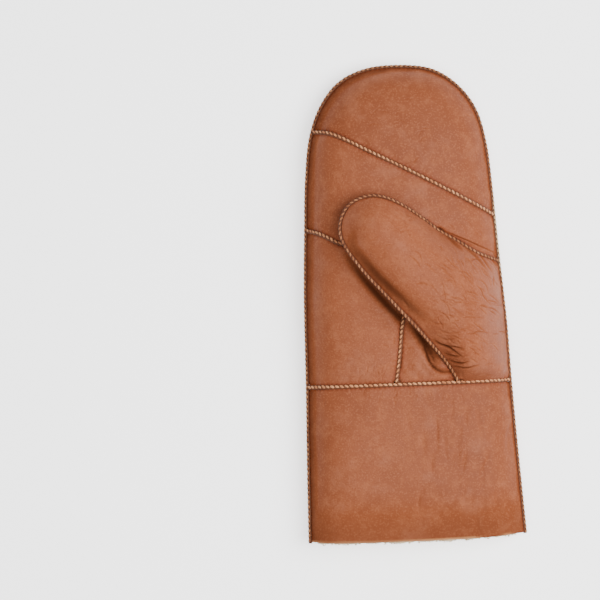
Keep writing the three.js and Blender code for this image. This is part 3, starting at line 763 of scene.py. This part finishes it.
def buildPanel(name, sizes):
    s = sculptSizes
    rows = foldRows(name)
    fine = finerCopy(name, sizes["levels"], s["crisp"])
    if rows:
        refineNear(fine, rows, sizes["side"])
    co = meshArray(fine)
    flat = co[:, :2] / millimetre
    tree, runs = (palmTree, palmRuns) if sizes["side"] > 0 else (backTree, backRuns)
    nearest, away, run, at = nearSeam(co, tree, runs)
    rimAway = nearSeam(co, rimTree, rimRuns)[1]

    # Gathers beside the seams, a soft swell between them, and the folds
    flatCo = co * np.array([1, 1, 0])
    gathered = np.exp(-np.abs(away - s["gatherAt"]) / s["gatherReach"]) * smoothStep(away, *s["gatherFrom"])
    along = np.stack([run, away * s["gatherDrift"], np.zeros(len(run))], axis=1) * millimetre
    foldLift, foldPaintedShade = foldShape(flat, rows)
    lift = gathered * waveLift(along, s["pucker"])
    lift += smoothStep(away, *s["free"]) * (waveLift(flatCo, s["swell"]) + waveLift(flatCo, s["ripple"]))
    lift += foldLift * smoothStep(away, *s["foldFrom"])
    if sizes["side"] < 0:
        lift *= smoothStep(co[:, 2] / millimetre, *s["resting"])
    normals = normalArray(fine)
    outward = normals * np.sign(normals[:, 2:3] * sizes["side"])
    outward[np.abs(normals[:, 2]) < s["wallLean"]] = 0
    co += outward * (lift * millimetre)[:, None]

    # The cut edge is drawn to its seam
    wall = valueArray(fine, "border") > s["borderLeast"]
    edge, pull = [values[at] for values in edgeReach(away, at, len(runs), wall)]
    pull *= 1 - smoothStep(away - edge, s["pullFrom"], s["pullReach"] + s["pullSpread"] * pull)
    co += (nearest - co) / np.maximum(away, s["leastAway"])[:, None] * pull[:, None]
    setArray(fine, co)

    # What the leather's material reads; rimShade is painted shade along the side seam, wider on the left, and
    # towards the hem
    leftReach, rightReach = s["rimReach"]
    rimReach = rightReach + (leftReach - rightReach) * (1 - smoothStep(flat[:, 0], *s["rimTurn"]))
    rimOpen = s["rimOpen"] * np.exp(-(rimAway / s["rimOpenReach"]) ** 2)
    rimOpen *= smoothStep(flat[:, 0], *s["rimOpenFrom"])
    aboveHem = flat[:, 1] - np.interp(flat[:, 0], cuffSteps, cuffEnds)
    hemStrength, hemWidth = s["hemShade"]
    hemShade = hemStrength * np.exp(-(aboveHem / hemWidth) ** 2)
    setValue(fine, "seamAway", away + rimOpen)
    setValue(fine, "seamRun", run)
    setValue(fine, "crease", foldPaintedShade)
    setValue(fine, "rimShade", np.maximum(np.exp(-(rimAway / rimReach) ** 2), hemShade))
    setValue(fine, "rawEdge", s["rawEdge"] * (1 - smoothStep(aboveHem, *s["rawReach"])))
    fine.materials.append(leatherMaterial(name + "_leather", sizes["tone"]))
    addMesh(name + "_soft", fine, stands=[name])


for panelName, panelSize in panelSizes.items():
    buildPanel(panelName, panelSize)
print("stage: panels")

# Seams: bare leather edge in slanted beads on a dark ridge, wound with two rust threads
cordSizes = {
    "pitch": 2.8,
    "routeStep": 0.3,
    "endRun": 1.5,
    "girth": ([0, 1], [1, 1]),
    "long": 1.5,
    "longSpread": (0.93, 1.05),
    "longPower": 0.5,
    "wide": 0.62,
    "wideSpread": (0.88, 1.1),
    "high": 0.6,
    "rise": 0.6,
    "lean": -0.2,
    "leanSpread": 0.05,
    "slant": 25.0,
    "slantSpread": 4,
    "beadRows": (8, 6),
    "tonePower": 1.5,
    "grooveSide": 0.8,
    "grooveEnd": 0.6,
    "groovePower": 5,
    "strands": 2,
    "threadRadius": 0.2,
    "threadSide": 1.5,
    "threadTop": 0.85,
    "threadSink": 0.3,
    "threadPower": 4,
    "threadStep": 0.42,
    "threadSides": 5,
    "coreWide": 1.22,
    "coreHigh": 0.85,
    "coreDeep": 0.0,
    "coreStep": 1.5,
    "coreSides": 10,
    "tubeMerge": 1e-7,
    "wool": 0.8,
    "woolly": [],
}


# A tube from a grid: the first axis runs along it and the second goes round it
def tubeBmesh(steps, sides, place, look):
    bm = bmesh.new()
    bmesh.ops.create_grid(bm, x_segments=steps, y_segments=sides, size=1.0)
    uv = np.array([v.co[:2] for v in bm.verts])
    for vert, where in zip(bm.verts, place((uv[:, 0] + 1) / 2, math.pi * (uv[:, 1] + 1))):
        vert.co = where
    bmesh.ops.remove_doubles(bm, verts=bm.verts, dist=cordSizes["tubeMerge"])
    ends = [e for e in bm.edges if len(e.link_faces) == 1]
    bmesh.ops.holes_fill(bm, edges=ends, sides=0)
    bmesh.ops.recalc_face_normals(bm, faces=bm.faces)
    for face in bm.faces:
        face.material_index = look
    return bm


# Two directions across a route: sideways, and out of the leather
def routeFrame(route, facing):
    tangent = np.gradient(route, axis=0)
    tangent /= np.linalg.norm(tangent, axis=1)[:, None]
    across = np.cross(tangent, np.array([0, 0, -1 if facing == "back" else 1]))
    across /= np.linalg.norm(across, axis=1)[:, None]
    if facing == "rim":
        return np.cross(tangent, -across), -across
    return across, np.cross(across, tangent)


def buildSeam(name, sizes, seed):
    s = {**cordSizes, **sizes}
    points = seamPoints[name]
    beyond = points[[0, -1]] - points[[1, -2]]
    beyond *= s["endRun"] * millimetre / np.linalg.norm(beyond, axis=1)[:, None]
    longer = np.vstack([points[0] + beyond[0], points[1:-1], points[-1] + beyond[1]])
    route, length = smoothPath(longer, s["routeStep"] * millimetre)
    side, above = routeFrame(route, s["facing"])
    total = length / millimetre
    steps = np.arange(len(route))
    count = round(total / s["pitch"])

    def along(share, sideways, upwards):
        at = np.clip(share, 0, 1) * (len(route) - 1)
        middle, left, out = [np.stack([np.interp(at, steps, values[:, k]) for k in range(3)], 1)
                             for values in (route, side, above)]
        return middle + (left * sideways[:, None] + out * upwards[:, None]) * millimetre

    # How thick the cord is along its way, thinner where the photograph shows it so
    def girth(share):
        return np.interp(share, *s["girth"])

    # Each thread goes round once for as many beads as there are threads
    def threadPlace(share, angle, strand):
        turn = 2 * math.pi * ((strand + 0.5) - share * count) / s["strands"]
        reach = s["threadTop"] * girth(share)
        reach += (s["threadSide"] * girth(share) - reach) * np.cos(turn) ** s["threadPower"]
        sideways = reach * np.cos(turn) + s["threadRadius"] * np.cos(angle)
        upwards = reach * np.sin(turn) - s["threadSink"] * np.cos(turn) ** 2
        return along(share, sideways, upwards + s["threadRadius"] * np.sin(angle))

    def corePlace(share, angle):
        upwards = s["coreHigh"] * np.sin(angle) - s["coreDeep"]
        return along(share, girth(share) * s["coreWide"] * np.cos(angle), girth(share) * upwards)

    mesh = bpy.data.meshes.new(name + "_cord")
    joined = bmesh.new()
    bead = bmesh.new()
    bmesh.ops.create_uvsphere(bead, u_segments=s["beadRows"][0], v_segments=s["beadRows"][1], radius=1.0)
    writeMesh(bead, mesh)
    ball = meshArray(mesh)
    for _ in range(count):
        joined.from_mesh(mesh)
    tubes = [(s["coreStep"], s["coreSides"], corePlace)]
    for strand in range(s["strands"]):
        tubes.append((s["threadStep"], s["threadSides"],
                      lambda share, angle, strand=strand: threadPlace(share, angle, strand)))
    for step, sides, place in tubes:
        writeMesh(tubeBmesh(round(total / step), sides, place, 1), mesh)
        joined.from_mesh(mesh)
    writeMesh(joined, mesh)

    # Every bead lies along the seam, turned a little, with its own size and tone
    chance = np.random.default_rng(seed)
    middles = (np.arange(count)[:, None] + 0.5) / count
    thick = girth(middles)
    slant = np.radians(s["slant"] + chance.normal(0, s["slantSpread"], (count, 1)))
    long = s["long"] * chance.uniform(*s["longSpread"], (count, 1)) * thick ** s["longPower"]
    wide = s["wide"] * chance.uniform(*s["wideSpread"], (count, 1)) * thick
    lean = s["lean"] + chance.normal(0, s["leanSpread"], (count, 1))
    forward = long * ball[:, 2] * np.cos(slant) - wide * ball[:, 0] * np.sin(slant)
    sideways = long * ball[:, 2] * np.sin(slant) + wide * ball[:, 0] * np.cos(slant) + lean
    upwards = thick * (s["high"] * ball[:, 1] + s["rise"])
    co = meshArray(mesh)
    beadVerts = count * len(ball)
    co[:beadVerts] = along((middles + forward / total).ravel(), sideways.ravel(), upwards.ravel())
    setArray(mesh, co)
    shadeSmooth(mesh)
    mesh.materials.clear()
    mesh.materials.append(cordLooks[s["look"]])
    mesh.materials.append(rustThread)

    # What the cord's material reads: painted shade on the beads' low sides and ends, each bead's tone, and
    # wool caught in it
    grooveShade = np.ones(len(co))
    beadShade = s["grooveSide"] * (1 - ball[:, 1].clip(0))
    beadShade += s["grooveEnd"] * np.abs(ball[:, 2]) ** s["groovePower"]
    grooveShade[:beadVerts] = np.tile(beadShade, count)
    tone = np.zeros(len(co))
    tone[:beadVerts] = np.repeat(chance.uniform(0, 1, count) ** s["tonePower"], len(ball))
    woolly = np.zeros(len(co))
    for middle, reach in s["woolly"]:
        gap = (((co[:, :2] / millimetre - middle) / reach) ** 2).sum(1)
        woolly = np.maximum(woolly, s["wool"] * np.exp(-gap ** 2))
    setValue(mesh, "grooveShade", grooveShade)
    setValue(mesh, "beadTone", tone)
    setValue(mesh, "woolly", woolly)
    addMesh(name + "_cord", mesh, stands=[name])


cordTones = {
    "palm": ((0.52, 0.235, 0.108, 1), (0.34, 0.118, 0.044, 1)),
    "thumb": ((0.33, 0.130, 0.054, 1), (0.20, 0.064, 0.022, 1)),
    "rim": ((0.34, 0.150, 0.062, 1), (0.16, 0.052, 0.019, 1)),
}
cordLooks = {key: cordMaterial(key + "_cord", *tones) for key, tones in cordTones.items()}
rustThread = threadMaterial("rust_thread")
seamSizes = {
    "side_seam": {"facing": "rim", "slot": "rim_seam", "look": "rim", "endRun": 0.0, "long": 1.65,
                  "wide": 0.98, "high": 0.8, "rise": 0.45, "lean": 0.0, "slant": 32.0, "grooveSide": 0.0,
                  "coreWide": 0.98, "coreHigh": 0.88, "coreDeep": 0.24, "woolly": [((47, 40), (8, 22))]},
    "fingertip_seam": {"facing": "palm", "slot": "seam", "look": "palm"},
    "heel_seam": {"facing": "palm", "slot": "seam", "look": "palm"},
    "thumb_seam": {"facing": "palm", "slot": "seam", "look": "thumb",
                   "girth": ([0, 0.22, 0.4, 0.6, 0.8, 1], [1.05, 1, 0.82, 0.74, 0.78, 0.86])},
    "gusset_seam": {"facing": "palm", "slot": "seam", "look": "palm", "wide": 0.6},
    "wrist_seam_palm": {"facing": "palm", "slot": "seam", "look": "palm", "wide": 0.78},
    "wrist_seam_back": {"facing": "back", "slot": "seam", "look": "palm"},
    "back_seam": {"facing": "back", "slot": "seam", "look": "palm"},
}
for seamSeed, (seamName, seamSize) in enumerate(seamSizes.items()):
    buildSeam(seamName, seamSize, seamSeed)
print("stage: seams")

# Fleece: the pile as a lumpy sheet, with curls of wool standing up at the mouth
fleeceSizes = {
    "levels": 2,
    "crisp": 0.5,
    "fineBelow": -104.0,
    "lump": {"high": 0.4, "wave": 4.0, "seed": 21},
    "curls": 3000,
    "curlLong": (2.2, 4.2),
    "curlRadius": 0.42,
    "curlTaper": 0.6,
    "curlTurn": (0.7, 1.5),
    "curlRise": 0.25,
    "curlDrift": 0.35,
    "curlRows": (7, 4),
    "rootSpread": 0.4,
    "rootDeep": 0.3,
    "endDeep": 1.5,
    "endShare": 5.0,
    "endFacing": -0.3,
    "mouth": -115.0,
    "seed": 77,
}
fleeceLook = fleeceMaterial("wool")


# The lining is made finer at the mouth alone, where it can be seen
def fineBelow(mesh, level):
    fine = bmesh.new()
    fine.from_mesh(mesh)
    low = [e for e in fine.edges if max(v.co.y for v in e.verts) / millimetre < level]
    bmesh.ops.subdivide_edges(fine, edges=low, cuts=1, use_grid_fill=True)
    writeMesh(fine, mesh)


# Curls rooted on the lining at the mouth, each a short tapering tube bent into part of a coil
def buildCurls(lining):
    s = fleeceSizes
    chance = np.random.default_rng(s["seed"])
    mouth = [p for p in lining.polygons if p.center.y / millimetre < s["mouth"]]
    middle = np.median([p.center.z for p in mouth])
    faces = [p for p in mouth if p.normal.y < s["endFacing"] or p.normal.z * (p.center.z - middle) < 0]
    areas = np.array([p.area * (s["endShare"] if p.normal.y < s["endFacing"] else 1) for p in faces])
    picked = chance.choice(len(faces), s["curls"], p=areas / areas.sum())
    roots = np.array([faces[i].center[:] for i in picked]) / millimetre
    out = np.array([faces[i].normal[:] for i in picked])
    roots += chance.normal(0, s["rootSpread"], roots.shape)
    roots -= out * np.where(out[:, 1:2] < s["endFacing"], s["endDeep"], s["rootDeep"])
    side = np.cross(out, chance.normal(size=out.shape))
    side /= np.linalg.norm(side, axis=1)[:, None]
    third = np.cross(out, side)
    mesh = bpy.data.meshes.new("wool_curls")
    tube = tubeBmesh(*s["curlRows"], lambda t, turn: np.stack([t, np.cos(turn), np.sin(turn)], axis=1), 0)
    writeMesh(tube, mesh)
    one = meshArray(mesh)
    joined = bmesh.new()
    for _ in range(s["curls"]):
        joined.from_mesh(mesh)
    writeMesh(joined, mesh)
    share, across, over = one[None, :, 0], one[None, :, 1], one[None, :, 2]
    long = chance.uniform(*s["curlLong"], (s["curls"], 1))
    turn = 2 * math.pi * chance.uniform(*s["curlTurn"], (s["curls"], 1))
    radius = s["curlRadius"] * (1 - s["curlTaper"] * share)
    bend = long / turn
    ringSide = bend * (1 - np.cos(turn * share)) + radius * across * np.cos(turn * share)
    ringOut = (bend - radius * across) * np.sin(turn * share) + s["curlRise"] * long * share
    ringThird = radius * over + s["curlDrift"] * long * share
    co = (roots[:, None] + side[:, None] * ringSide[..., None] + out[:, None] * ringOut[..., None]
          + third[:, None] * ringThird[..., None])
    setArray(mesh, co.reshape(-1, 3) * millimetre)
    shadeSmooth(mesh)
    mesh.materials.clear()
    mesh.materials.append(fleeceLook)
    addMesh("wool_curls", mesh)


for liningName in ("hand_lining", "thumb_lining"):
    fleeceMesh = finerCopy(liningName, fleeceSizes["levels"], fleeceSizes["crisp"])
    fineBelow(fleeceMesh, fleeceSizes["fineBelow"])
    fleeceCo = meshArray(fleeceMesh)
    lumps = waveLift(fleeceCo, fleeceSizes["lump"]) * millimetre
    setArray(fleeceMesh, fleeceCo + normalArray(fleeceMesh) * lumps[:, None])
    fleeceMesh.materials.append(fleeceLook)
    addMesh(liningName + "_wool", fleeceMesh, stands=[liningName])
    if liningName == "hand_lining":
        buildCurls(fleeceMesh)
print("stage: fleece")

# Floor and light, the floor glowing a little as a light table does
floorSizes = {
    "side": 6.0,
    "below": 0.0003,
    "tones": ((0.90, 0.90, 0.90, 1), (0.93, 0.93, 0.93, 1)),
    "noise": (3.0, 1.0),
    "rough": 0.9,
    "glow": 1.4,
    "glowTone": (1, 1, 1, 1),
}
floorMesh = bpy.data.meshes.new("floor")
floorBm = bmesh.new()
bmesh.ops.create_grid(floorBm, x_segments=1, y_segments=1, size=floorSizes["side"] / 2)
writeMesh(floorBm, floorMesh)
floor = addObject("floor", floorMesh)
floor.location.z = -floorSizes["below"]
floorLook, floorTree, floorShader, floorPlace = newMaterial("floor")
floorTint = noiseAt(floorTree, floorPlace, *floorSizes["noise"])
setInputs(floorTree, floorShader, {
    "Base Color": mixColour(floorTree, floorTint, *floorSizes["tones"]),
    "Roughness": floorSizes["rough"],
    "Emission Color": floorSizes["glowTone"],
    "Emission Strength": floorSizes["glow"],
})
floorMesh.materials.append(floorLook)
floor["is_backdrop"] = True

lightSizes = {
    "lamps": {
        "key": {"place": (0.8, 0.1, 1.2), "size": 1.1, "power": 34.0},
        "fill": {"place": (0.05, -0.15, 1.7), "size": 1.3, "power": 35.0},
    },
    "target": (0, 0, 0.02),
    "world": 0.25,
    "worldTone": (1, 1, 1, 1),
}
for lampName, lampSize in lightSizes["lamps"].items():
    lampData = bpy.data.lights.new(lampName, "AREA")
    lampData.shape = "DISK"
    lampData.size = lampSize["size"]
    lampData.energy = lampSize["power"]
    lamp = addObject(lampName, lampData)
    lamp.location = lampSize["place"]
    towards = Vector(lightSizes["target"]) - Vector(lampSize["place"])
    lamp.rotation_euler = towards.to_track_quat("-Z", "Y").to_euler()
world = bpy.context.scene.world or bpy.data.worlds.new("world")
bpy.context.scene.world = world
world.use_nodes = True
background = world.node_tree.nodes["Background"]
setInputs(world.node_tree, background, {"Color": lightSizes["worldTone"], "Strength": lightSizes["world"]})
print("stage: floor and light")

counts = {o.name: sum(len(p.vertices) - 2 for p in o.data.polygons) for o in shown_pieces()}
print("stage: triangles", sum(counts.values()), max(counts.items(), key=lambda row: row[1]))
